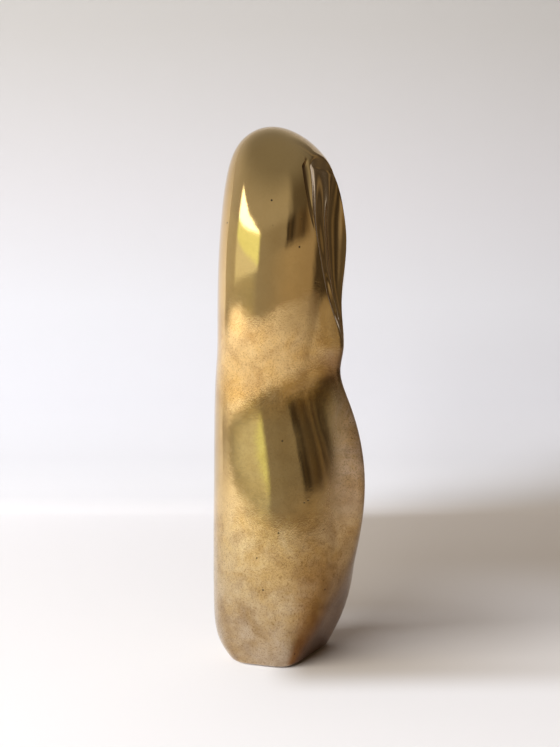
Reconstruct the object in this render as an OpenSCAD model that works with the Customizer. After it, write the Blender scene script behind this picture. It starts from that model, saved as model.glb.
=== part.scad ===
// Hollow cast brass owl on a plated, felted base.
// Frame: millimetres, +Z up, the owl faces -Y, its right side is -X, z = 0 is the table.

/* [Overall] */
// Height from the table to the crown
height = 200; // [150:1:260]
// Thickness of the cast wall
wall = 4.2; // [3:0.1:6]
// Squareness of the back of every section, 2 is an ellipse
back_square = 2.15; // [2:0.05:3]

/* [Levels] */
// Heel, in percent of the height
heel_level = 4; // [3:0.5:6]
// Foot, in percent of the height
foot_level = 11; // [9:0.5:14]
// Hip, in percent of the height
hip_level = 22.5; // [19:0.5:26]
// Belly, in percent of the height
belly_level = 35; // [31:0.5:38]
// Breast, in percent of the height
breast_level = 46; // [43:0.5:48]
// Throat, in percent of the height
throat_level = 53; // [51:0.5:54.5]
// Chin, in percent of the height
chin_level = 58; // [56.5:0.5:60]
// Beak, in percent of the height
beak_level = 64; // [62:0.5:66]
// Cheek, in percent of the height
cheek_level = 73; // [70:0.5:76]
// Eye, in percent of the height
eye_level = 82; // [80:0.5:84]
// Brow, in percent of the height
brow_level = 90.5; // [89:0.5:92]
// Scalp, in percent of the height
scalp_level = 97; // [95:0.5:97.5]

/* [Sections] */
// Sole: half width, reach to the front, reach to the back, squareness of the front
sole = [22, 13.3, 16.7, 6.5]; // [1:0.1:60]
// Heel section, in the same order
heel = [24.8, 17.7, 22.8, 4.8]; // [1:0.1:60]
// Foot section, in the same order
foot = [27.4, 24.2, 24, 3.1]; // [1:0.1:60]
// Hip section, in the same order
hip = [28.2, 28.5, 24.2, 2.2]; // [1:0.1:60]
// Belly section, in the same order
belly = [26.9, 27.5, 24.3, 2]; // [1:0.1:60]
// Breast section, in the same order
breast = [24.8, 21, 24.2, 2]; // [1:0.1:60]
// Throat section, in the same order
throat = [26, 18.7, 23.1, 2]; // [1:0.1:60]
// Chin section, in the same order
chin = [28.7, 19.8, 21.5, 1.9]; // [1:0.1:60]
// Beak section, in the same order
beak = [30.5, 21.5, 21.1, 1.9]; // [1:0.1:60]
// Cheek section, in the same order
cheek = [31.6, 22.9, 20.5, 2.1]; // [1:0.1:60]
// Eye section, in the same order
eye = [29.8, 23.6, 19.7, 2.1]; // [1:0.1:60]
// Brow section, in the same order
brow = [24, 20.7, 18.5, 2.1]; // [1:0.1:60]
// Scalp section, in the same order
scalp = [14.5, 11.2, 14.4, 2]; // [1:0.1:60]
// How far the top of the crown lies behind the middle
crown_back = 3; // [0:0.5:8]

/* [Keel] */
// How far the keel down the middle of the front stands out, at the hip
hip_keel = 3; // [0:0.1:6]
// The keel at the belly
belly_keel = 6.5; // [0:0.1:10]
// The keel at the breast
breast_keel = 8.5; // [0:0.1:12]
// The keel at the throat
throat_keel = 5; // [0:0.1:8]
// The keel at the chin, which it makes pointed
chin_keel = 6; // [0:0.1:8]
// The keel at the beak
beak_keel = 3; // [0:0.1:6]
// The keel at the cheek
cheek_keel = 0.3; // [0:0.1:2]
// Half width of the keel
keel_w = 13; // [8:0.5:16]

/* [Face] */
// Half width of the face's rim and depth of its hollow, at the chin
chin_face = [0.9, 0.1]; // [0:0.1:30]
// Rim half width and hollow depth, at the beak
beak_face = [3.8, 0.9]; // [0:0.1:30]
// Rim half width and hollow depth, at the cheek
cheek_face = [11.3, 3.2]; // [0:0.1:30]
// Rim half width and hollow depth, at the eye
eye_face = [16.6, 4.3]; // [0:0.1:30]
// Rim half width and hollow depth, at the brow
brow_face = [13, 1]; // [0:0.1:30]
// How far in front of the middle the top edge of the face lies
brow_front = 17.1; // [14:0.1:19]
// Height of the ridge between the eyes, as a share of the hollow's depth
ridge_part = 0.3; // [0:0.05:1.2]
// Half width of the ridge at the brow
ridge_top_w = 9; // [4:0.5:12]
// Half width of the ridge where the beak starts
ridge_low_w = 5; // [2:0.5:7]
// How far the beak stands out of the hollow
beak_rise = 0.9; // [0.4:0.1:4]
// Half width of the beak where it starts
beak_w = 4.6; // [3:0.1:7]
// Half width of the beak at its tip
beak_tip_w = 1.8; // [1:0.1:3]
// Depth of the crescent groove outside the rim
groove_depth = 1.6; // [0:0.1:2.4]
// Width of the crescent groove, in degrees around the head
groove_turn = 9.5; // [4:0.5:14]

/* [Base] */
// Thickness of the felt pad
felt_t = 1.5; // [1:0.1:3]
// How far the felt stands out below the casting
felt_proud = 0.5; // [0.2:0.1:0.8]
// Gap between the felt and the casting's rebate
felt_gap = 0.6; // [0.3:0.1:1.5]
// Thickness of the base plate
plate_t = 3; // [2:0.5:5]
// Gap between the base plate and the casting's rebate
plate_gap = 0.15; // [0.05:0.05:0.4]
// Thickness of the inner flange that the plate is screwed to
flange_t = 8; // [6:0.5:12]
// Half width of the opening through the flange
opening_half_w = 7; // [4:0.5:8]
// How far the flange reaches in at the front and the back
flange_reach = 2.5; // [1.5:0.5:4]

/* [Fasteners] */
// Distance from the middle to each base screw
screw_out = 12; // [11:0.5:13]
// Thread diameter of the base screws
screw_d = 4; // [3:0.5:4]
// Head diameter of the base screws
screw_head_d = 7.4; // [6:0.1:8]
// Length of the base screws, head included
screw_len = 10; // [8:1:14]
// Width and depth of the slot in each screw head
slot_w = 1; // [0.6:0.1:1.4]
// Clearance around each screw in the base plate
screw_gap = 0.2; // [0.1:0.05:0.4]
// Diameter of the core plugs
plug_d = 6; // [4:0.5:8]
// How far a plug's flat end lies under the curved skin
plug_sink = 0.2; // [0.1:0.05:0.4]
// How far the side plugs are turned from the front, in degrees
plug_turn = 68; // [50:1:100]

/* [Hidden] */

brass = [0.79, 0.62, 0.32];
pale_brass = [0.84, 0.70, 0.38];
steel = [0.72, 0.72, 0.70];
green = [0.10, 0.22, 0.15];

// Columns in half a ring: across the face, across the groove, round the side to the back
face_n = 8;
groove_n = 2;
side_n = 24;
half_n = face_n + groove_n + side_n;
// Rings between two neighbouring sections
step_n = 4;

rebate_z = felt_t + plate_t;
flange_z = rebate_z + flange_t;

function at(level) = felt_proud + (height - felt_proud) * level / 100;

// One section as [z, half width, middle, reach, squareness, face half width, hollow depth, keel]
function station(level, s, face, keel = 0) =
    [at(level), s[0], (s[2] - s[1]) / 2, (s[2] + s[1]) / 2, s[3], face[0], face[1], keel];

// Away from the face the second list only says where the face's columns run
stations = [
    station(0, sole, [8, 0]),
    station(heel_level, heel, [9, 0]),
    station(foot_level, foot, [10, 0]),
    station(hip_level, hip, [10, 0], hip_keel),
    station(belly_level, belly, [9, 0], belly_keel),
    station(breast_level, breast, [5, 0], breast_keel),
    station(throat_level, throat, [2, 0], throat_keel),
    station(chin_level, chin, chin_face, chin_keel),
    station(beak_level, beak, beak_face, beak_keel),
    station(cheek_level, cheek, cheek_face, cheek_keel),
    station(eye_level, eye, eye_face),
    station(brow_level, brow, brow_face),
    station(scalp_level, scalp, [7, 0]),
    station(100, [0, -crown_back, crown_back, 2], [0, 0])
];
last = len(stations) - 1;

// The sections run on over the crown and down the other side, so the top closes smoothly
over = [1, -1, 1, -1, 1, -1, 1, 1];
function mirrored(s) = [for (k = [0:7]) s[k] * over[k]];
run = concat([2 * stations[0] - stations[1]], stations,
    [mirrored(stations[last - 1]), mirrored(stations[last - 2])]);
drawn = [for (i = [1:len(run) - 2]) run[i] - (run[i - 1] - 2 * run[i] + run[i + 1]) / 6];
curve = concat([2 * drawn[0] - drawn[1]], drawn);

// The section at step t along the curve: whole numbers are the named sections
function section(t) =
    let (i = min(floor(t), len(curve) - 4), u = t - i)
    ((1 - u) ^ 3 * curve[i] + (3 * u ^ 3 - 6 * u ^ 2 + 4) * curve[i + 1]
        + (3 * u + 3 * u ^ 2 - 3 * u ^ 3 + 1) * curve[i + 2] + u ^ 3 * curve[i + 3]) / 6;

// Reach of a unit section at a turn from the front, squarer or sharper at the front by n
function reach(turn, n) =
    let (w = ((1 + cos(turn)) / 2) ^ 2, e = back_square + (max(n, 1.1) - back_square) * w)
    (abs(sin(turn)) ^ e + abs(cos(turn)) ^ e) ^ (-1 / e);

// A point of the skin: the section, with the keel standing out of its front half
function skin(s, turn) =
    let (
        r = reach(turn, s[4]),
        x = s[1] * r * sin(turn),
        keel = cos(turn) > 0 ? max(0, s[7]) * bell(x / keel_w) : 0
    )
    [x, s[2] - s[3] * r * cos(turn) - keel, s[0]];

// Turn at which a section is as far from the middle as the share q of its half width
function turn_at(q, n, tries = 10, turn = 20) =
    tries == 0 ? turn : turn_at(q, n, tries - 1, asin(min(1, q / reach(turn, n))));

function ease(a, b, v) = let (u = min(1, max(0, (v - a) / (b - a)))) u * u * (3 - 2 * u);
function bell(v) = abs(v) >= 1 ? 0 : (1 + cos(180 * v)) / 2;

// Levels of the beak: where it leaves the ridge, where it is fullest, its tip
beak_top_z = at(cheek_level) + 3;
beak_full_z = at(cheek_level) - 7;
beak_tip_z = at(beak_level) + 4;
beak_end_z = at(beak_level) - 3;

function ridge_w(z) =
    ridge_low_w + (ridge_top_w - ridge_low_w) * ease(at(cheek_level), at(brow_level), z);
function ridge_share(z) = ease(at(beak_level), at(eye_level) - 6, z);
function beak_out(z) =
    beak_rise * (1 - ease(beak_full_z, beak_top_z, z)) * ease(beak_end_z, beak_tip_z, z);
function beak_half(z) = beak_tip_w + (beak_w - beak_tip_w) * ease(beak_tip_z, beak_top_z, z);

// A point of the face, q from the middle to the rim: cut back to the rim, then hollowed.
// The cut stays upright at the top, where it leaves the curve of the head in an arch.
function face_point(s, q) =
    let (
        x = s[5] * q,
        y_skin = skin(s, turn_at(x / s[1], s[4]))[1],
        y_rim = min(-brow_front, skin(s, turn_at(s[5] / s[1], s[4]))[1]),
        depth = max(0, s[6]),
        y_bowl = y_rim + depth * (1 - q * q) ^ 0.75,
        y_ridge = depth * ridge_part * ridge_share(s[0]) * bell(x / ridge_w(s[0])),
        y_beak = beak_out(s[0]) * bell(x / beak_half(s[0])),
        share = s[0] > at(eye_level) ? 1 : 1 - exp(-2 * depth)
    )
    [x, y_skin + share * max(0, y_bowl - y_ridge - y_beak - y_skin), s[0]];

// The crescent groove: deepest beside the brow, gone beside the cheek
function groove_share(z) =
    ease(at(cheek_level) + 12, at(brow_level) + 1, z)
        * (1 - ease(at(brow_level) + 1, at(brow_level) + 5, z));

function groove_point(s, turn, v) =
    let (p = skin(s, turn), cut = groove_depth * groove_share(s[0]) * bell(2 * v - 1))
    [p[0] * (1 - cut / s[1]), s[2] + (p[1] - s[2]) * (1 - cut / s[3]), s[0]];

function outer_half(t) =
    let (
        s = section(t),
        rim = turn_at(s[5] / s[1], s[4]),
        lobe = rim + 2.5 + (groove_turn - 2.5) * groove_share(s[0])
    )
    concat(
        [for (i = [0:face_n]) face_point(s, i / face_n)],
        [for (i = [1:groove_n]) groove_point(s, rim + (lobe - rim) * i / groove_n, i / groove_n)],
        [for (i = [1:side_n]) skin(s, lobe + (180 - lobe) * i / side_n)]
    );

// A plain ring of half width, front and back reach, and squareness
function plain_half(z, half_w, front, back, n) =
    let (s = [z, half_w, (back - front) / 2, (back + front) / 2, n, 0, 0, 0])
    [for (i = [0:half_n]) skin(s, 180 * i / half_n)];

// A full ring from its half: right side first, then the left side back to the front
function ring(half) =
    concat([for (p = half) [-p[0], p[1], p[2]]], [for (i = [half_n - 1:-1:1]) half[i]]);

// The cavity keeps the wall behind the skin, and more behind the hollowed face
function cavity_half(t) =
    let (
        s = section(t),
        back = s[3] + s[2] - wall,
        relief = (1 - exp(-2 * max(0, s[6]))) * (eye_face[1] + 4.5),
        front = s[3] - s[2] - wall - relief
    )
    plain_half(s[0], s[1] - wall, front, back, min(3, max(2, s[4])));

cavity_first = 1.9;
cavity_last = last - 1.5;
cavity_steps = 16;
cavity_top = section(cavity_last);

rebate = [sole[0] - wall, sole[1] - wall, sole[2] - wall];
function rebate_half(z, gap) =
    plain_half(z, rebate[0] - gap, rebate[1] - gap, rebate[2] - gap, 5);
function opening_half(z) =
    plain_half(z, opening_half_w, rebate[1] - flange_reach, rebate[2] - flange_reach, 3);

// Rings from the top of the cavity down, round the base, and up the skin to the crown
shell_rings = concat(
    [for (i = [cavity_steps:-1:0])
        ring(cavity_half(cavity_first + (cavity_last - cavity_first) * i / cavity_steps))],
    [ring(opening_half(flange_z)), ring(opening_half(rebate_z))],
    [ring(rebate_half(rebate_z, 0)), ring(rebate_half(felt_proud, 0))],
    [for (i = [0:step_n * last - 1]) ring(outer_half(i / step_n))]
);
ring_n = 2 * half_n;
shell_n = len(shell_rings);

module body_shell() {
    inner_top = [0, cavity_top[2], cavity_top[0] + wall];
    crown = [0, crown_back, height];
    points = concat([inner_top], [for (r = shell_rings) each r], [crown]);
    top = len(points) - 1;
    inner_cap = [for (j = [0:ring_n - 1]) [0, 1 + (j + 1) % ring_n, 1 + j]];
    sides = [for (i = [0:shell_n - 2]) for (j = [0:ring_n - 1])
        let (k = (j + 1) % ring_n, a = 1 + i * ring_n, b = a + ring_n)
        each [[a + j, a + k, b + k], [a + j, b + k, b + j]]];
    crown_cap = [for (j = [0:ring_n - 1])
        let (a = 1 + (shell_n - 1) * ring_n)
        [a + j, a + (j + 1) % ring_n, top]];
    polyhedron(points, concat(inner_cap, sides, crown_cap), convexity = 8);
}

// Places a plug's axis: out of the skin at a section step and a turn, side 1 is the owl's left
module at_skin(t, turn, side) {
    p = skin(section(t), turn);
    out = atan2(p[1] - section(t)[2], p[0]);
    mirror([side < 0 ? 1 : 0, 0, 0])
        translate(p)
            rotate([0, 90, out])
                children();
}

module plug_hole() {
    translate([0, 0, -3 * wall])
        cylinder(d = plug_d, h = 4 * wall, $fn = 48);
}

module plug() {
    color(pale_brass)
        translate([0, 0, -wall])
            cylinder(d = plug_d, h = wall - plug_sink, $fn = 48);
}

back_upper = 9.3;
back_lower = 3.2;
flank = 2.8;

module body_casting() {
    color(brass)
        difference() {
            body_shell();
            at_skin(back_upper, 180, 1)
                plug_hole();
            at_skin(back_lower, 180, 1)
                plug_hole();
            at_skin(flank, plug_turn, -1)
                plug_hole();
            at_skin(flank, plug_turn, 1)
                plug_hole();
            for (side = [-1, 1])
                translate([side * screw_out, 0, rebate_z - 1])
                    cylinder(d = screw_d, h = flange_t + 2, $fn = 48);
        }
}

module core_plug_back_upper() {
    at_skin(back_upper, 180, 1)
        plug();
}

module core_plug_back_lower() {
    at_skin(back_lower, 180, 1)
        plug();
}

module core_plug_right() {
    at_skin(flank, plug_turn, -1)
        plug();
}

module core_plug_left() {
    at_skin(flank, plug_turn, 1)
        plug();
}

module outline(gap) {
    polygon([for (p = ring(rebate_half(0, gap))) [p[0], p[1]]]);
}

// Head cone and shank as one turned shape, wider by the gap for the hole it goes through
module screw_form(gap, length) {
    head_h = (screw_head_d - screw_d) / 2;
    rotate_extrude($fn = 48)
        polygon([[0, 0], [screw_head_d / 2 + gap, 0], [screw_d / 2 + gap, head_h],
            [screw_d / 2 + gap, length], [0, length]]);
}

module base_plate() {
    color(brass)
        difference() {
            translate([0, 0, felt_t])
                linear_extrude(plate_t)
                    outline(plate_gap);
            for (side = [-1, 1])
                translate([side * screw_out, 0, felt_t])
                    screw_form(screw_gap, plate_t + 1);
        }
}

module base_screw(side) {
    color(steel)
        translate([side * screw_out, 0, felt_t])
            difference() {
                screw_form(0, screw_len);
                translate([-screw_head_d, -slot_w / 2, -slot_w])
                    cube([2 * screw_head_d, slot_w, 2 * slot_w]);
            }
}

module base_screw_right() {
    base_screw(-1);
}

module base_screw_left() {
    base_screw(1);
}

module felt_pad() {
    color(green)
        linear_extrude(felt_t)
            outline(felt_gap);
}

body_casting();
core_plug_back_upper();
core_plug_back_lower();
core_plug_right();
core_plug_left();
base_plate();
base_screw_right();
base_screw_left();
felt_pad();
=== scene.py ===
import math

import bpy
import numpy as np
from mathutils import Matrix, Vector


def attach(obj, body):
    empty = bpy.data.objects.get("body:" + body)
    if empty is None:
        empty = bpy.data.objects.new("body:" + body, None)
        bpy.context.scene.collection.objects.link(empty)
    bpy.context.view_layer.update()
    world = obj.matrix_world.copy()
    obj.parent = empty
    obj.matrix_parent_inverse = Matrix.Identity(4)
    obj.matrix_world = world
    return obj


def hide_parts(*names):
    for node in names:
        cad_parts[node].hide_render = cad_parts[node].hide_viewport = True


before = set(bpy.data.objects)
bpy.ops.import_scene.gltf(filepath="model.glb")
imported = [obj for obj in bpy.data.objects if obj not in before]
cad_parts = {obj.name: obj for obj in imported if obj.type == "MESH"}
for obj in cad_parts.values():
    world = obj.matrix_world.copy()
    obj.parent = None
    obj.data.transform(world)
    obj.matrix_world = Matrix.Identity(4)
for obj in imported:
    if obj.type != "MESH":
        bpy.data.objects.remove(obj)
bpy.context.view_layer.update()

# Camera: a little above the middle of the owl, on its right side, turned towards its front.
# The lens gives the photograph's perspective on a frame of 560 by 747.
view_turn, view_dip = math.radians(23.26), math.radians(2.24)
view_away, view_height = 0.460, 0.1247
sensor_mm, focal_pixels, frame_pixels = 24.0, 1213, 747
camera_data = bpy.data.cameras.new("camera")
camera_data.sensor_fit = "VERTICAL"
camera_data.sensor_height = sensor_mm
camera_data.lens = sensor_mm * focal_pixels / frame_pixels
camera_data.clip_start = 0.01
camera = bpy.data.objects.new("camera", camera_data)
camera.location = (-view_away * math.cos(view_turn), -view_away * math.sin(view_turn), view_height)
ahead = Vector((math.cos(view_turn) * math.cos(view_dip), math.sin(view_turn) * math.cos(view_dip),
                -math.sin(view_dip)))
camera.rotation_euler = ahead.to_track_quat("-Z", "Y").to_euler()
bpy.context.collection.objects.link(camera)
bpy.context.scene.camera = camera
bpy.context.scene.view_settings.view_transform = "Standard"


# Table and wall: one sheet of matt white paper, laid flat from near the camera and curved up behind
# the owl in a wide fold. Its tone holds painted shade: greyer up the wall, and a painted shadow on the right of
# the owl.
def hex_rgb(code):
    parts = [int(code[i:i + 2], 16) / 255 for i in (1, 3, 5)]
    return [c / 12.92 if c <= 0.04045 else ((c + 0.055) / 1.055) ** 2.4 for c in parts] + [1.0]


def add(tree, kind, settings=None, links=None):
    made = tree.nodes.new(kind)
    for key, value in (settings or {}).items():
        if isinstance(key, str) and hasattr(made, key):
            setattr(made, key, value)
        else:
            made.inputs[key].default_value = value
    for key, source in (links or {}).items():
        tree.links.new(source, made.inputs[key])
    return made


def new_material(name):
    made = bpy.data.materials.new(name)
    made.use_nodes = True
    made.node_tree.nodes.clear()
    return made, made.node_tree


def dress(piece, material):
    piece.data.materials.clear()
    piece.data.materials.append(material)


def set_stops(ramp, stops):
    while len(ramp.elements) < len(stops):
        ramp.elements.new(0.5)
    for spot, (place, colour) in zip(ramp.elements, stops):
        spot.position = place
        spot.color = hex_rgb(colour) if isinstance(colour, str) else (colour, colour, colour, 1)


def share_within(tree, limits, easing="SMOOTHSTEP"):
    share = None
    for source, start, end in limits:
        eased = {"interpolation_type": easing, "From Min": start, "From Max": end}
        part = add(tree, "ShaderNodeMapRange", eased, {"Value": source}).outputs[0]
        share = part if share is None else add(tree, "ShaderNodeMath", {"operation": "MULTIPLY"},
                                               {0: share, 1: part}).outputs[0]
    return share


near_edge, fold_start, fold_r, fold_steps = -0.47, 0.33, 0.10, 12
wall_height, wall_left, wall_right = 0.45, 0.90, -0.30
table_more, table_slant = 1.2, 0.78
tiny = 1e-4
bpy.ops.object.select_all(action="DESELECT")
bpy.ops.mesh.primitive_plane_add(size=1)
table = bpy.context.object
table.name = "table_and_wall"
bpy.ops.object.mode_set(mode="EDIT")
bpy.ops.transform.resize(value=(fold_start - near_edge, wall_left - wall_right, 1))
bpy.ops.transform.translate(value=((fold_start + near_edge) / 2, (wall_left + wall_right) / 2, 0))
bpy.ops.mesh.select_mode(type="EDGE")
bpy.ops.mesh.select_all(action="DESELECT")
bpy.ops.object.mode_set(mode="OBJECT")
for edge in table.data.edges:
    edge.select = all(abs(table.data.vertices[v].co.x - fold_start) < tiny for v in edge.vertices)
bpy.ops.object.mode_set(mode="EDIT")
for k in range(fold_steps):
    a, b = (math.radians(90 * j / fold_steps) for j in (k, k + 1))
    bpy.ops.mesh.extrude_edges_move(TRANSFORM_OT_translate={"value": (
        fold_r * (math.sin(b) - math.sin(a)), 0, fold_r * (math.cos(a) - math.cos(b)))})
bpy.ops.mesh.extrude_edges_move(TRANSFORM_OT_translate={"value": (0, 0, wall_height)})
for side in (wall_right, wall_left):
    bpy.ops.mesh.select_all(action="DESELECT")
    bpy.ops.object.mode_set(mode="OBJECT")
    for edge in table.data.edges:
        ends = [table.data.vertices[v].co for v in edge.vertices]
        edge.select = all(abs(end.y - side) < tiny and end.z < tiny for end in ends)
    bpy.ops.object.mode_set(mode="EDIT")
    bpy.ops.mesh.extrude_edges_move(TRANSFORM_OT_translate={
        "value": (table_slant, math.copysign(table_more, side), 0)})
bpy.ops.mesh.select_all(action="SELECT")
bpy.ops.mesh.normals_make_consistent(inside=False)
bpy.ops.transform.rotate(value=-view_turn, orient_axis="Z", center_override=(0, 0, 0))
bpy.ops.object.mode_set(mode="OBJECT")
bpy.ops.object.shade_smooth()
paper, tree = new_material("matt_white_paper")
place = add(tree, "ShaderNodeTexCoord").outputs["Object"]
up = add(tree, "ShaderNodeSeparateXYZ", links={"Vector": place}).outputs["Z"]
# Painted shade: the paper turns greyer from the table up the wall
shade = add(tree, "ShaderNodeValToRGB", links={"Fac": up})
set_stops(shade.color_ramp, [(0.0, "#F7F6F8"), (0.002, "#EDECEE"), (0.008, "#DEDEE1"), (0.03, "#D0D0D4"),
                             (0.07, "#CBCBD0"), (0.14, "#CACACE"), (0.22, "#C2C0C2"), (0.34, "#B2AFAC"),
                             (0.55, "#A29F9A")])
to_right = Vector((math.sin(view_turn), -math.cos(view_turn), 0))
to_wall = Vector((math.cos(view_turn), math.sin(view_turn), 0))
shade_slant = 0.25
aside, behind, far = (
    add(tree, "ShaderNodeVectorMath", {"operation": "DOT_PRODUCT", 1: way}, {0: place}).outputs["Value"]
    for way in (to_right, to_wall, to_wall - shade_slant * to_right))
# Painted shade: the wall is a little darker towards the left, where the lamp is nearer
fade = add(tree, "ShaderNodeMapRange", {"From Min": -0.20, "From Max": 0.05, "To Min": 0.055, "To Max": 0.0},
           {"Value": aside})
upright = add(tree, "ShaderNodeMapRange", {"From Max": 0.02}, {"Value": up})
lack = add(tree, "ShaderNodeMath", {"operation": "MULTIPLY"}, {0: fade.outputs[0], 1: upright.outputs[0]})
lit = add(tree, "ShaderNodeMath", {"operation": "SUBTRACT", 0: 1.0}, {1: lack.outputs[0]})
graded = add(tree, "ShaderNodeVectorMath", {"operation": "SCALE"},
             {0: shade.outputs["Color"], "Scale": lit.outputs[0]})
# Painted shadow: the paper is toned darker beside and behind the owl on the right, less so towards the near
# right and where the lamp's own shadow is deepest
painted_shadow = share_within(tree, ((aside, -0.008, 0.012), (behind, -0.056, -0.020), (far, 0.370, 0.300)))
for limits, weight in ((((aside, 0.015, 0.130), (behind, 0.200, 0.050)), -0.58),
                       (((aside, 0.100, 0.030), (behind, -0.020, 0.030), (behind, 0.085, 0.045)), -0.40)):
    less = add(tree, "ShaderNodeMath", {"operation": "MULTIPLY_ADD", 1: weight, 2: 1.0},
               {0: share_within(tree, limits)})
    painted_shadow = add(tree, "ShaderNodeMath", {"operation": "MULTIPLY"}, {0: painted_shadow, 1: less.outputs[0]}).outputs[0]
shadowed_paper = add(tree, "ShaderNodeMix", {"data_type": "RGBA", "blend_type": "MULTIPLY", 7: hex_rgb("#C2B9AC")},
             {0: painted_shadow, 6: graded.outputs[0]})
shader = add(tree, "ShaderNodeBsdfPrincipled", {"Roughness": 0.9, "Specular IOR Level": 0.2},
             {"Base Color": shadowed_paper.outputs[2]})
add(tree, "ShaderNodeOutputMaterial", links={"Surface": shader.outputs[0]})
dress(table, paper)

# Light: one wide soft window lamp, left of the camera and hidden from mirror rays, throws the soft shadow
# to the right, and the room adds a dim warm fill. The brass mirrors the room's own tones: dark curtains
# in front of the owl, pale walls beside and behind it, grey above.
window_way = Vector((-0.842, 0.335, 0.423))
window_away, window_wide, window_tall, window_watts = 1.7, 1.92, 0.665, 64.5
window_data = bpy.data.lights.new("window", "AREA")
window_data.shape = "RECTANGLE"
window_data.size = window_wide
window_data.size_y = window_tall
window_data.energy = window_watts
window_data.color = (0.97, 0.985, 1.0)
window = bpy.data.objects.new("window", window_data)
window.location = window_way * window_away
window.rotation_euler = (-window_way).to_track_quat("-Z", "Y").to_euler()
window.visible_glossy = False
bpy.context.collection.objects.link(window)

room = bpy.data.worlds.new("room")
bpy.context.scene.world = room
room.use_nodes = True
tree = room.node_tree
tree.nodes.clear()
way = add(tree, "ShaderNodeTexCoord").outputs["Generated"]
turned = add(tree, "ShaderNodeMapping", {"Scale": (-1, -1, 1)}, {"Vector": way})
around = add(tree, "ShaderNodeTexGradient", {"gradient_type": "RADIAL"},
             {"Vector": turned.outputs[0]}).outputs["Fac"]
rise = add(tree, "ShaderNodeSeparateXYZ", links={"Vector": way}).outputs["Z"]
# Once round the room at table height, at head height and higher up, then plain grey overhead
room_bands = []
for stops in (
        [(0.0, "#DEDBD8"), (0.28, "#CCCAC0"), (0.45, "#C4C3B2"), (0.50, "#ABA8A2"), (0.585, "#A8A299"),
         (0.70, "#B8AC9A"), (0.815, "#AC9F8C"), (0.835, "#4B433A"), (0.965, "#5E564C"), (1.0, "#D2CFCB")],
        [(0.0, "#D2CFCB"), (0.28, "#CCCAC0"), (0.45, "#C4C3B2"), (0.50, "#ABA8A2"), (0.60, "#A09A90"),
         (0.660, "#A09A90"), (0.672, "#3A332B"), (0.686, "#5C5246"), (0.698, "#3A332B"), (0.720, "#72675A"),
         (0.735, "#6A5D4C"), (0.760, "#54493D"), (0.785, "#8A7B66"), (0.800, "#A0968A"), (0.815, "#A0968A"),
         (0.835, "#4B433A"), (0.855, "#3A332B"), (0.868, "#7D705C"), (0.880, "#463E35"), (0.900, "#5E5448"),
         (0.915, "#39322A"), (0.930, "#8A7B64"), (0.942, "#4B433A"), (0.965, "#5E564C"), (1.0, "#D2CFCB")],
        [(0.0, "#C0BDB7"), (0.24, "#C4C2BF"), (0.32, "#B8B6B2"), (0.66, "#B6B3AD"), (0.70, "#6A645B"),
         (0.85, "#5A5248"), (0.866, "#85796A"), (0.882, "#554D44"), (0.905, "#6F6A62"), (0.918, "#4E463D"),
         (0.932, "#8F836F"), (0.945, "#5A5248"), (0.97, "#6F6A62"), (1.0, "#B8B5AF")]):
    band = add(tree, "ShaderNodeValToRGB", links={"Fac": around})
    set_stops(band.color_ramp, stops)
    room_bands.append(band.outputs["Color"])
so_far = room_bands[0]
for start, end, upper in ((0.03, 0.13, room_bands[1]), (0.25, 0.39, room_bands[2]), (0.50, 0.90, None)):
    past = share_within(tree, ((rise, start, end),))
    joined = add(tree, "ShaderNodeMix", {"data_type": "RGBA", 7: hex_rgb("#8F8D89")}, {0: past, 6: so_far})
    if upper:
        tree.links.new(upper, joined.inputs[7])
    so_far = joined.outputs[2]
# The window as the brass mirrors it: sky along its slanting top, a bright garden, then a pale sill
top_line, sky_line, garden_line = (
    add(tree, "ShaderNodeMath", {"operation": "MULTIPLY_ADD", 1: slope}, {0: around, 2: rise}).outputs[0]
    for slope in (1.79, 0.49, 1.31))
pane = share_within(tree, ((around, 0.325, 0.345), (around, 0.505, 0.485), (rise, -0.015, 0.015),
                           (top_line, 1.189, 1.164)), "LINEAR")
outside = (1.0, 1.04, 0.92, 1)
for source, start, end, colour in ((garden_line, 0.665, 0.700, (1.22, 1.40, 0.84, 1)),
                                   (sky_line, 0.515, 0.545, (4.0, 4.1, 4.0, 1))):
    above = add(tree, "ShaderNodeMapRange", {"From Min": start, "From Max": end}, {"Value": source})
    step = add(tree, "ShaderNodeMix", {"data_type": "RGBA", 7: colour}, {0: above.outputs[0]})
    if isinstance(outside, tuple):
        step.inputs[6].default_value = outside
    else:
        tree.links.new(outside.outputs[2], step.inputs[6])
    outside = step
with_pane = add(tree, "ShaderNodeMix", {"data_type": "RGBA"}, {0: pane, 6: so_far, 7: outside.outputs[2]})
ray = add(tree, "ShaderNodeLightPath")
mirrored = add(tree, "ShaderNodeMix", {"data_type": "RGBA", 6: hex_rgb("#6A5844")},
               {0: ray.outputs["Is Glossy Ray"], 7: with_pane.outputs[2]})
seen = add(tree, "ShaderNodeMix", {"data_type": "RGBA", 7: hex_rgb("#F2F0EF")},
           {0: ray.outputs["Is Camera Ray"], 6: mirrored.outputs[2]})
glow = add(tree, "ShaderNodeBackground", links={"Color": seen.outputs[2]})
add(tree, "ShaderNodeOutputWorld", links={"Surface": glow.outputs[0]})

# Body: one hollow lost-wax casting in yellow brass, chased, then polished by hand on a wheel.
# Each ring of a tall cylinder is set to the owl's section at that height, and the face is hollowed
# to a crisp rim; the sole is recessed for the plate.
mm = 0.001
height, wall, back_square, felt_proud = 200.0, 4.2, 2.15, 0.5
felt_t, plate_t, felt_gap = 1.5, 3.0, 0.6
rebate_z = felt_t + plate_t
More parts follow.
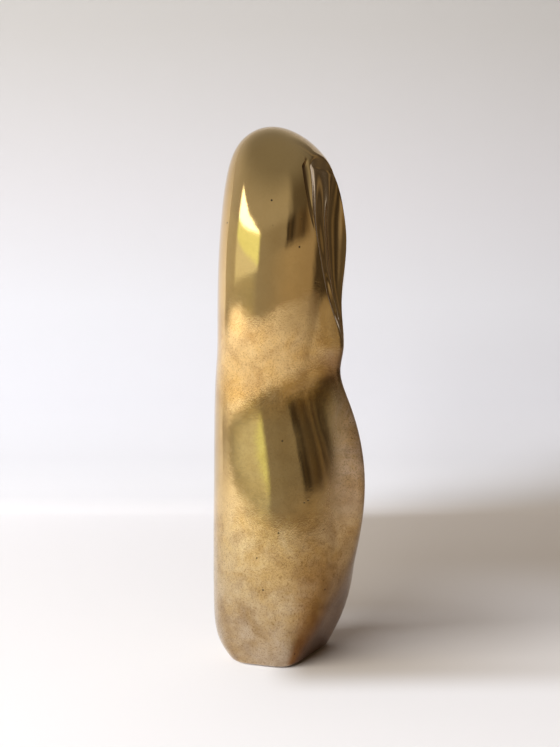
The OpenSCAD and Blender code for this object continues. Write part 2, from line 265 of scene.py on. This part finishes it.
# Percent of the height, half width, front, back, squareness of the front, rim half width, hollow, keel
sections = [
    (0, 22, 13.3, 16.7, 6.5, 8, 0, 0), (4, 24.8, 17.7, 22.8, 4.8, 9, 0, 0), (11, 27.4, 24.2, 24, 3.1, 10, 0, 0),
    (22.5, 28.2, 28.5, 24.2, 2.2, 10, 0, 3), (35, 26.9, 27.5, 24.3, 2, 9, 0, 6.5),
    (46, 24.8, 21, 24.2, 2, 5, 0, 8.5), (53, 26, 18.7, 23.1, 2, 2, 0, 5),
    (58, 28.7, 19.8, 21.5, 1.9, 0.9, 0.1, 6), (64, 30.5, 21.5, 21.1, 1.9, 3.8, 0.9, 3),
    (73, 31.6, 22.9, 20.5, 2.1, 11.3, 3.2, 0.3), (82, 29.8, 23.6, 19.7, 2.1, 16.6, 4.3, 0),
    (90.5, 24, 20.7, 18.5, 2.1, 13, 1, 0), (97, 14.5, 11.2, 14.4, 2, 7, 0, 0),
    (100, 0, -3, 3, 2, 0, 0, 0)]
keel_w, rebate_square = 13.0, 5
brow_front, ridge_part, ridge_top_w, ridge_low_w = 17.1, 0.3, 9.0, 5.0
beak_rise, beak_w, beak_tip_w = 0.9, 4.6, 1.8
groove_depth, groove_turn = 1.6, 9.5
rim_ease, edge_ease, sole_ease = 0.55, 0.6, 1.2


def level(percent):
    return felt_proud + (height - felt_proud) * percent / 100


chin, beak, cheek, brow = (level(percent) for percent in (64, 73, 82, 90.5))


def ease(a, b, v):
    u = np.clip((v - a) / (b - a), 0, 1)
    return u * u * (3 - 2 * u)


def bell(v):
    return (1 + np.cos(np.pi * np.clip(v, -1, 1))) / 2


# The same sections as height, half width, middle, half depth and the rest, carried over the crown
# and on as one smooth curve
rows = np.array([[level(p), w, (b - f) / 2, (b + f) / 2, n, rim, hollow, keel]
                 for p, w, f, b, n, rim, hollow, keel in sections])
over = np.array([1, -1, 1, -1, 1, -1, 1, 1])
run = np.vstack([2 * rows[0] - rows[1], rows, rows[-2] * over, rows[-3] * over])
drawn = run[1:-1] - (run[:-2] - 2 * run[1:-1] + run[2:]) / 6
curve = np.vstack([2 * drawn[0] - drawn[1], drawn])


def section(t):
    i = min(int(t), len(curve) - 4)
    u = t - i
    return ((1 - u) ** 3 * curve[i] + (3 * u ** 3 - 6 * u ** 2 + 4) * curve[i + 1]
            + (3 * u + 3 * u ** 2 - 3 * u ** 3 + 1) * curve[i + 2] + u ** 3 * curve[i + 3]) / 6


def reach(turn, n):
    share = ((1 + np.cos(turn)) / 2) ** 2
    power = back_square + (max(n, 1.1) - back_square) * share
    return (np.abs(np.sin(turn)) ** power + np.abs(np.cos(turn)) ** power) ** (-1 / power)


def skin(s, turn):
    r = reach(turn, s[4])
    x = s[1] * r * np.sin(turn)
    keel = np.where(np.cos(turn) > 0, max(0.0, s[7]) * bell(x / keel_w), 0)
    return np.stack([x, s[2] - s[3] * r * np.cos(turn) - keel, s[0] + 0 * turn], -1)


def turn_at(q, n):
    turn = np.full(np.shape(q), 0.35)
    for _ in range(14):
        turn = np.arcsin(np.minimum(1, q / reach(turn, n)))
    return turn


def face(s, q):
    x, z = s[5] * q, s[0]
    depth = max(0.0, s[6])
    y_skin = skin(s, turn_at(x / s[1], s[4]))[:, 1]
    y_rim = min(-brow_front, skin(s, turn_at(np.array([s[5] / s[1]]), s[4]))[0, 1])
    y_bowl = y_rim + depth * np.maximum(0, 1 - q * q) ** 0.75
    ridge_w = ridge_low_w + (ridge_top_w - ridge_low_w) * ease(beak, brow, z)
    y_ridge = depth * ridge_part * ease(chin, cheek - 6, z) * bell(x / ridge_w)
    out = beak_rise * (1 - ease(beak - 7, beak + 3, z)) * ease(chin - 3, chin + 4, z)
    half = beak_tip_w + (beak_w - beak_tip_w) * ease(chin + 4, beak + 3, z)
    share = 1 if z > cheek else 1 - math.exp(-2 * depth)
    cut = y_bowl - y_ridge - out * bell(x / half) - y_skin
    rounded = np.maximum(0, edge_ease - np.abs(cut)) ** 2 / (4 * edge_ease)
    y = y_skin + share * (np.maximum(0, cut) + rounded)
    return np.stack([x, y, z + 0 * x], -1)


face_n, rim_n, groove_n, side_n = 40, 6, 12, 90


def groove_share(z):
    return ease(beak + 12, brow + 1, z) * (1 - ease(brow + 1, brow + 5, z))


def half_ring(t):
    s = section(t)
    rim = turn_at(np.array([s[5] / s[1]]), s[4])[0]
    inside = face(s, np.linspace(0, 1 - min(0.3, rim_ease / max(s[5], 0.1)), face_n + 1))
    edge = face(s, np.array([1.0]))[0]
    share = groove_share(s[0])
    step = rim_ease / max(s[1], 1.0) * 0.9
    lobe = rim + math.radians(2.5 + (groove_turn - 2.5) * share)
    turns = np.linspace(rim + step, max(lobe, rim + 2 * step), groove_n)
    v = (turns - rim) / (turns[-1] - rim)
    cut = groove_depth * share * np.maximum(0, 1 - (2 * v - 1) ** 2) ** 0.8
    outside = skin(s, turns)
    outside[:, 0] *= 1 - cut / s[1]
    outside[:, 1] = s[2] + (outside[:, 1] - s[2]) * (1 - cut / s[3])
    u = np.linspace(0, 1, rim_n + 2)[1:-1, None]
    eased = (1 - u) ** 2 * inside[-1] + 2 * u * (1 - u) * edge + u ** 2 * outside[0]
    return np.vstack([inside, eased, outside, skin(s, np.linspace(turns[-1], math.pi, side_n + 2)[1:])])


def full_ring(half):
    return np.vstack([half * [-1, 1, 1], half[-2:0:-1]])


def sole_ring(z, inset, count):
    w, front, back = (size - inset for size in sections[0][1:4])
    s = np.array([z, w, (back - front) / 2, (back + front) / 2, rebate_square, 0, 0, 0])
    return full_ring(skin(s, np.linspace(0, math.pi, count)))


count = len(half_ring(1.0))
fine = np.linspace(0, len(sections) - 1.001, 4000)
heights = np.array([section(t)[0] for t in fine])
# Rings stand wide apart up to the neck and close together over the face, then run on to the crown
neck_z, head_z, body_gap, face_gap, crown_n = 108, 188, 1.4, 0.5, 22
last = len(sections) - 1
body_at = np.interp(np.arange(felt_proud + sole_ease, neck_z, body_gap), heights, fine)
face_at = np.interp(np.arange(neck_z, head_z, face_gap), heights, fine)
crown_at = last - (last - np.interp(head_z, heights, fine)) * np.linspace(1, 0, crown_n)[:-1]
skin_rings = [full_ring(half_ring(t)) for t in np.concatenate([body_at, face_at, crown_at])]
bottom = full_ring(half_ring(0.0))
centre = np.array([0, rows[0][2], felt_proud])
inward = (centre - bottom) / np.linalg.norm(centre - bottom, axis=1)[:, None]
eased_rings = [(1 - u) ** 2 * (bottom + inward * sole_ease) + 2 * u * (1 - u) * bottom + u ** 2 * skin_rings[0]
               for u in np.linspace(0, 1, 6)[:-1]]
burr_cut = 0.25
base_rings = [np.tile([0, rows[0][2], rebate_z], (len(bottom), 1)), sole_ring(rebate_z, wall, count),
              sole_ring(felt_proud + burr_cut, wall, count), sole_ring(felt_proud, wall - burr_cut, count)]
crown = np.tile([0, sections[-1][3], height], (len(bottom), 1))
rings = np.array(base_rings + eased_rings + skin_rings + [crown])
recess = np.zeros(rings.shape[:2])
across = np.arange(groove_n)
for k, ring in enumerate(skin_rings, len(base_rings) + len(eased_rings)):
    deep = groove_share(ring[0, 2]) * np.sin(np.pi * across / (groove_n - 1))
    recess[k, face_n + 1 + rim_n + across] = deep
    recess[k, -(face_n + 1 + rim_n + across)] = deep

bpy.ops.object.select_all(action="DESELECT")
bpy.ops.mesh.primitive_cylinder_add(vertices=rings.shape[1], radius=1, depth=2, end_fill_type="NOTHING")
body = bpy.context.object
body.name = "owl_casting"
bpy.ops.object.mode_set(mode="EDIT")
bpy.ops.mesh.select_mode(type="EDGE")
bpy.ops.mesh.select_all(action="DESELECT")
bpy.ops.object.mode_set(mode="OBJECT")
for edge in body.data.edges:
    a, b = (body.data.vertices[v].co.z for v in edge.vertices)
    edge.select = abs(a - b) > 1
bpy.ops.object.mode_set(mode="EDIT")
bpy.ops.mesh.subdivide_edgering(number_cuts=len(rings) - 2, interpolation="LINEAR")
bpy.ops.object.mode_set(mode="OBJECT")
spots = np.zeros(len(body.data.vertices) * 3)
body.data.vertices.foreach_get("co", spots)
spots = spots.reshape(-1, 3)
columns = np.round(np.arctan2(spots[:, 1], spots[:, 0]) / (2 * math.pi) * rings.shape[1]).astype(int)
columns %= rings.shape[1]
lines = np.round((spots[:, 2] + 1) / 2 * (len(rings) - 1)).astype(int)
body.data.vertices.foreach_set("co", (rings[lines, columns] * mm).ravel())
body.data.attributes.new("recess", "FLOAT", "POINT").data.foreach_set("value", recess[lines, columns])
body.data.update()
bpy.ops.object.mode_set(mode="EDIT")
bpy.ops.mesh.select_all(action="SELECT")
bpy.ops.mesh.remove_doubles(threshold=2e-7)
bpy.ops.mesh.normals_make_consistent(inside=False)
bpy.ops.object.mode_set(mode="OBJECT")
# How squarely each spot just above the sole faces the front, for the stain over the toes
placed, normals = (np.zeros(len(body.data.vertices) * 3) for _ in range(2))
body.data.vertices.foreach_get("co", placed)
body.data.vertices.foreach_get("normal", normals)
toes = ease(0.50, 0.80, -normals[1::3]) * ease(27, 3, placed[2::3] / mm)
body.data.attributes.new("toes", "FLOAT", "POINT").data.foreach_set("value", toes)
bpy.ops.object.shade_smooth_by_angle(angle=math.radians(50))

# Yellow brass, cast and wheel-polished: mirror bright on the head, a little duller on the belly,
# satin and mottled with brown tarnish in the neck and low down, with fine grain and open pits.
cast_brass, tree = new_material("polished_cast_brass")
place = add(tree, "ShaderNodeTexCoord").outputs["Object"]
along = add(tree, "ShaderNodeSeparateXYZ", links={"Vector": place})
y_at, z_at = along.outputs["Y"], along.outputs["Z"]
# The zones follow the height, and their edges wander by a twentieth of it at most
cloud = add(tree, "ShaderNodeTexNoise", {"Scale": 1 / (22 * mm), "Detail": 4.0, "Roughness": 0.6},
            {"Vector": place})
wander = add(tree, "ShaderNodeMath", {"operation": "MULTIPLY_ADD", 1: 0.10, 2: -0.05},
             {0: cloud.outputs["Fac"]})
share_up = add(tree, "ShaderNodeMath", {"operation": "DIVIDE", 1: height * mm}, {0: z_at})
zone_at = add(tree, "ShaderNodeMath", {"operation": "ADD"}, {0: share_up.outputs[0], 1: wander.outputs[0]})
by_height = []
for stops in (
        [(0.0, 0.60), (0.23, 0.52), (0.29, 0.30), (0.34, 0.05), (0.45, 0.05), (0.49, 0.24), (0.52, 0.42),
         (0.60, 0.38), (0.645, 0.15), (0.70, 0.05), (1.0, 0.02)],
        [(0.0, 0.95), (0.26, 0.90), (0.31, 0.35), (0.45, 0.30), (0.50, 0.85), (0.60, 0.80), (0.65, 0.35),
         (0.72, 0.14), (1.0, 0.08)],
        [(0.28, 0.0), (0.34, 0.30), (0.45, 0.30), (0.51, 0.0)],
        [(0.49, 0.0), (0.54, 0.9), (0.60, 0.9), (0.65, 0.0)],
        [(0.0, 0.8), (0.22, 0.8), (0.34, 0.0)],
        [(0.0, 1.0), (0.06, 0.9), (0.14, 0.35), (0.22, 0.0)]):
    zone = add(tree, "ShaderNodeValToRGB", links={"Fac": zone_at.outputs[0]})
    set_stops(zone.color_ramp, stops)
    by_height.append(zone.outputs["Color"])
satin, worn, olive, rubbed, pale, foot = by_height
# The front of the breast is dull too, from the hip to the chin
breast_dull = share_within(tree, ((y_at, -21 * mm, -30 * mm), (z_at, 118 * mm, 106 * mm),
                                  (z_at, 42 * mm, 70 * mm)))
# Broad golden patches, with mauve-grey stains among them, and a grain that is drawn at 0.6 mm to show
mottled = add(tree, "ShaderNodeMath", {"operation": "MAXIMUM"}, {0: worn, 1: breast_dull})
shares = []
for size, detail, rough, start, end in ((15.0, 8.0, 0.66, 0.35, 0.66), (7.0, 8.0, 0.66, 0.40, 0.68),
                                        (0.60, 3.0, 0.70, 0.46, 0.72)):
    cloud = add(tree, "ShaderNodeTexNoise", {"Scale": 1 / (size * mm), "Detail": detail, "Roughness": rough,
                                             "Distortion": 0.4}, {"Vector": place})
    spread = share_within(tree, ((cloud.outputs["Fac"], start, end),))
    shares.append(add(tree, "ShaderNodeMath", {"operation": "MULTIPLY"},
                      {0: spread, 1: mottled.outputs[0]}).outputs[0])
gold_share, grey_share, grain_share = shares
grain = cloud.outputs["Fac"]
# Rubbed gold at the sides of the neck, olive on the belly but less on the breast
rubbed_side = share_within(tree, ((y_at, -25 * mm, -15 * mm),))
rubbed_share = add(tree, "ShaderNodeMath", {"operation": "MULTIPLY"}, {0: rubbed, 1: rubbed_side})
olive_share = add(tree, "ShaderNodeMath", {"operation": "MULTIPLY_ADD", 1: -0.35, "use_clamp": True},
                  {0: breast_dull, 2: olive})
# Browner low on the front, where hands and polish reach least, and brown painted shade under the chin
low_front = share_within(tree, ((z_at, 84 * mm, 20 * mm), (y_at, -12 * mm, -21 * mm)))
brown_share = add(tree, "ShaderNodeMath", {"operation": "MULTIPLY", 1: 0.95}, {0: low_front})
painted_chin_shade = share_within(tree, ((y_at, -17 * mm, -23 * mm), (z_at, 100 * mm, 107 * mm),
                                 (z_at, 120 * mm, 112 * mm)))
# Open pits up to 0.7 mm wide, in about half of the cells
cells = add(tree, "ShaderNodeTexVoronoi", {"Scale": 1 / (6.5 * mm)}, {"Vector": place})
near_pit = share_within(tree, ((cells.outputs["Distance"], 0.070, 0.035),))
drawn_pit = add(tree, "ShaderNodeMath", {"operation": "GREATER_THAN", 1: 0.45},
                {0: add(tree, "ShaderNodeSeparateColor", links={"Color": cells.outputs["Color"]}).outputs[0]})
pit = add(tree, "ShaderNodeMath", {"operation": "MULTIPLY"}, {0: near_pit, 1: drawn_pit.outputs[0]})
in_groove, on_toes = (add(tree, "ShaderNodeAttribute", {"attribute_name": name}).outputs["Fac"]
                      for name in ("recess", "toes"))
# The bare brass, then each colour over it
bare_brass, colour = hex_rgb("#D8B67A"), None
for share, code, blend in (
        (rubbed_share.outputs[0], "#E8C486", "MIX"), (pale, "#D8C090", "MIX"), (foot, "#C4B096", "MIX"),
        (olive_share.outputs[0], "#8E7A50", "MIX"), (breast_dull, "#F0D6B8", "MIX"),
        (painted_chin_shade, "#A8865E", "MIX"), (brown_share.outputs[0], "#9A784C", "MIX"), (on_toes, "#95683A", "MIX"),
        (gold_share, "#F0E2BE", "MULTIPLY"), (grey_share, "#DDD6D0", "MULTIPLY"),
        (grain_share, "#CCC0AE", "MULTIPLY"), (in_groove, "#6B4C2A", "MIX"),
        (pit.outputs[0], "#2E2115", "MIX")):
    layer = add(tree, "ShaderNodeMix",
                {"data_type": "RGBA", "blend_type": blend, 6: bare_brass, 7: hex_rgb(code)}, {0: share})
    if colour:
        tree.links.new(colour, layer.inputs[6])
    colour = layer.outputs[2]
dull = add(tree, "ShaderNodeMapRange", {"To Min": 0.06, "To Max": 0.30}, {"Value": satin})
for source, weight in ((grain_share, 0.12), (breast_dull, 0.40)):
    dull = add(tree, "ShaderNodeMath", {"operation": "MULTIPLY_ADD", 1: weight},
               {0: source, 2: dull.outputs[0]})
# Waves left by the polishing wheel, then the grain and the pits
waves = add(tree, "ShaderNodeTexNoise", {"Scale": 1 / (6 * mm), "Detail": 2.0}, {"Vector": place})
wavy = add(tree, "ShaderNodeMath", {"operation": "MULTIPLY_ADD", 1: 0.8, 2: 0.2}, {0: worn})
wave_rise = add(tree, "ShaderNodeMath", {"operation": "MULTIPLY"},
                {0: waves.outputs["Fac"], 1: wavy.outputs[0]})
broad = add(tree, "ShaderNodeBump", {"Strength": 1.0, "Distance": 0.10 * mm}, {"Height": wave_rise.outputs[0]})
grain_rise = add(tree, "ShaderNodeMath", {"operation": "MULTIPLY"}, {0: grain, 1: worn})
relief = add(tree, "ShaderNodeMath", {"operation": "SUBTRACT"}, {0: grain_rise.outputs[0], 1: pit.outputs[0]})
bump = add(tree, "ShaderNodeBump", {"Strength": 0.35, "Distance": 0.12 * mm},
           {"Height": relief.outputs[0], "Normal": broad.outputs[0]})
# A thin film of wax whitens the edges, except where the brown tarnish is thick
tarnish = add(tree, "ShaderNodeMath", {"operation": "MAXIMUM"}, {0: brown_share.outputs[0], 1: on_toes})
wax = add(tree, "ShaderNodeMapRange", {"To Min": 0.3, "To Max": 0.0}, {"Value": tarnish.outputs[0]})
shader = add(tree, "ShaderNodeBsdfPrincipled", {"Metallic": 1.0, "Coat Roughness": 0.12},
             {"Base Color": colour, "Roughness": dull.outputs[0], "Normal": bump.outputs[0],
              "Coat Weight": wax.outputs[0]})
add(tree, "ShaderNodeOutputMaterial", links={"Surface": shader.outputs[0]})
dress(body, cast_brass)
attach(body, "root")
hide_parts("body_casting")

# Core plugs: brass pins that close the four holes where the core was held, driven in, filed flush
# and polished with the casting in the same brass, so hardly a hairline shows.
plug_r, plug_lift, plug_turn = 3.0, 0.03, math.radians(68)
inset_n, inset_gap = 9, 0.31
for name, t, turn, side in [("back_upper", 9.3, math.pi, 1), ("back_lower", 3.2, math.pi, 1),
                            ("right", 2.8, plug_turn, -1), ("left", 2.8, plug_turn, 1)]:
    s = section(t)
    spot = skin(s, np.array([turn]))[0] * [side, 1, 1]
    out = Vector((spot[0], spot[1] - s[2], 0)).normalized()
    bpy.ops.object.select_all(action="DESELECT")
    bpy.ops.mesh.primitive_cylinder_add(vertices=48, radius=plug_r * mm, depth=wall * mm)
    cap = bpy.context.object
    cap.name = "core_plug_cap_" + name
    bpy.ops.object.mode_set(mode="EDIT")
    bpy.ops.mesh.select_mode(type="FACE")
    bpy.ops.mesh.select_all(action="DESELECT")
    bpy.ops.object.mode_set(mode="OBJECT")
    for polygon in cap.data.polygons:
        polygon.select = polygon.normal.z > 0.9
    bpy.ops.object.mode_set(mode="EDIT")
    for _ in range(inset_n):
        bpy.ops.mesh.inset(thickness=inset_gap * mm, depth=0)
    bpy.ops.object.mode_set(mode="OBJECT")
    outer = cap.vertex_groups.new(name="outer_face")
    outer.add([v.index for v in cap.data.vertices if v.co.z > 0], 1.0, "ADD")
    cap.rotation_euler = out.to_track_quat("Z", "Y").to_euler()
    cap.location = Vector(spot) * mm - out * wall / 2 * mm
    bpy.ops.object.transform_apply(location=True, rotation=True, scale=True)
    wrap = cap.modifiers.new("flush", "SHRINKWRAP")
    wrap.target = body
    wrap.vertex_group = "outer_face"
    wrap.offset = plug_lift * mm
    bpy.ops.object.modifier_apply(modifier="flush")
    bpy.ops.object.shade_smooth_by_angle(angle=math.radians(40))
    dress(cap, cast_brass)
    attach(cap, "root")
    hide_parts("core_plug_" + name)

# Base plate: a flat brass plate let into the sole, cut from rolled sheet, so it is straight-grained,
# with lines drawn 0.4 mm apart to show. It is the solid as built, with its own finish.
plate_brass, tree = new_material("rolled_brass_sheet")
place = add(tree, "ShaderNodeTexCoord").outputs["Object"]
line_run, line_gap = 25 * mm, 0.4 * mm
stretch = add(tree, "ShaderNodeMapping", {"Scale": (1 / line_run, 1 / line_gap, 1 / line_gap)},
              {"Vector": place})
lines_in = add(tree, "ShaderNodeTexNoise", {"Scale": 1.0, "Detail": 3.0, "Roughness": 0.6},
               {"Vector": stretch.outputs[0]})
sheet_tone = add(tree, "ShaderNodeMix", {"data_type": "RGBA", 6: hex_rgb("#D8B878"), 7: hex_rgb("#B8945A")},
                 {0: lines_in.outputs["Fac"]})
dull = add(tree, "ShaderNodeMapRange", {"To Min": 0.25, "To Max": 0.45}, {"Value": lines_in.outputs["Fac"]})
bump = add(tree, "ShaderNodeBump", {"Strength": 0.2, "Distance": 0.05 * mm},
           {"Height": lines_in.outputs["Fac"]})
shader = add(tree, "ShaderNodeBsdfPrincipled", {"Metallic": 1.0},
             {"Base Color": sheet_tone.outputs[2], "Roughness": dull.outputs[0], "Normal": bump.outputs[0]})
add(tree, "ShaderNodeOutputMaterial", links={"Surface": shader.outputs[0]})
dress(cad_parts["base_plate"], plate_brass)

# Base screws: two slotted countersunk steel screws, turned and zinc plated, so a cool, faintly mottled
# grey. They hold the plate to the flange inside, and are the solids as built.
zinc, tree = new_material("zinc_plated_turned_steel")
place = add(tree, "ShaderNodeTexCoord").outputs["Object"]
mottle = add(tree, "ShaderNodeTexNoise", {"Scale": 1 / (0.8 * mm), "Detail": 4.0, "Roughness": 0.6},
             {"Vector": place})
cool = add(tree, "ShaderNodeMix", {"data_type": "RGBA", 6: hex_rgb("#C9CBCD"), 7: hex_rgb("#9FA2A4")},
           {0: mottle.outputs["Fac"]})
dull = add(tree, "ShaderNodeMapRange", {"To Min": 0.22, "To Max": 0.42}, {"Value": mottle.outputs["Fac"]})
shader = add(tree, "ShaderNodeBsdfPrincipled", {"Metallic": 1.0},
             {"Base Color": cool.outputs[2], "Roughness": dull.outputs[0]})
add(tree, "ShaderNodeOutputMaterial", links={"Surface": shader.outputs[0]})
for side in ("right", "left"):
    dress(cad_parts["base_screw_" + side], zinc)

# Felt pad: dark green wool felt, die-cut to the recess and glued under the plate.
# Its fibres make it dull and slightly fuzzy, and it stands half a millimetre below the casting.
felt_ring = sole_ring(0, wall + felt_gap, 49)
bpy.ops.object.select_all(action="DESELECT")
bpy.ops.mesh.primitive_circle_add(vertices=len(felt_ring), radius=1, fill_type="NGON")
felt = bpy.context.object
felt.name = "felt_sheet"
for vertex, spot in zip(felt.data.vertices, felt_ring):
    vertex.co = Vector(spot) * mm
bpy.ops.object.mode_set(mode="EDIT")
bpy.ops.mesh.select_all(action="SELECT")
bpy.ops.mesh.extrude_region_move(TRANSFORM_OT_translate={"value": (0, 0, felt_t * mm)})
bpy.ops.mesh.select_all(action="SELECT")
bpy.ops.mesh.normals_make_consistent(inside=False)
bpy.ops.object.mode_set(mode="OBJECT")
edge_round = felt.modifiers.new("pressed_edge", "BEVEL")
edge_round.width = 0.15 * mm
edge_round.segments = 2
edge_round.limit_method = "ANGLE"
edge_round.angle_limit = math.radians(60)
bpy.ops.object.modifier_apply(modifier="pressed_edge")
bpy.ops.object.shade_smooth_by_angle(angle=math.radians(40))
green_felt, tree = new_material("pressed_wool_felt")
place = add(tree, "ShaderNodeTexCoord").outputs["Object"]
fibres = add(tree, "ShaderNodeTexNoise", {"Scale": 1 / (0.4 * mm), "Detail": 6.0, "Roughness": 0.7,
                                          "Distortion": 1.2}, {"Vector": place})
wool = add(tree, "ShaderNodeMix", {"data_type": "RGBA", 6: hex_rgb("#1B3A2A"), 7: hex_rgb("#2F5A41")},
           {0: fibres.outputs["Fac"]})
bump = add(tree, "ShaderNodeBump", {"Strength": 0.6, "Distance": 0.2 * mm}, {"Height": fibres.outputs["Fac"]})
shader = add(tree, "ShaderNodeBsdfPrincipled",
             {"Roughness": 0.95, "Specular IOR Level": 0.1, "Sheen Weight": 0.3, "Sheen Roughness": 0.6},
             {"Base Color": wool.outputs[2], "Normal": bump.outputs[0]})
add(tree, "ShaderNodeOutputMaterial", links={"Surface": shader.outputs[0]})
dress(felt, green_felt)
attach(felt, "root")
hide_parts("felt_pad")
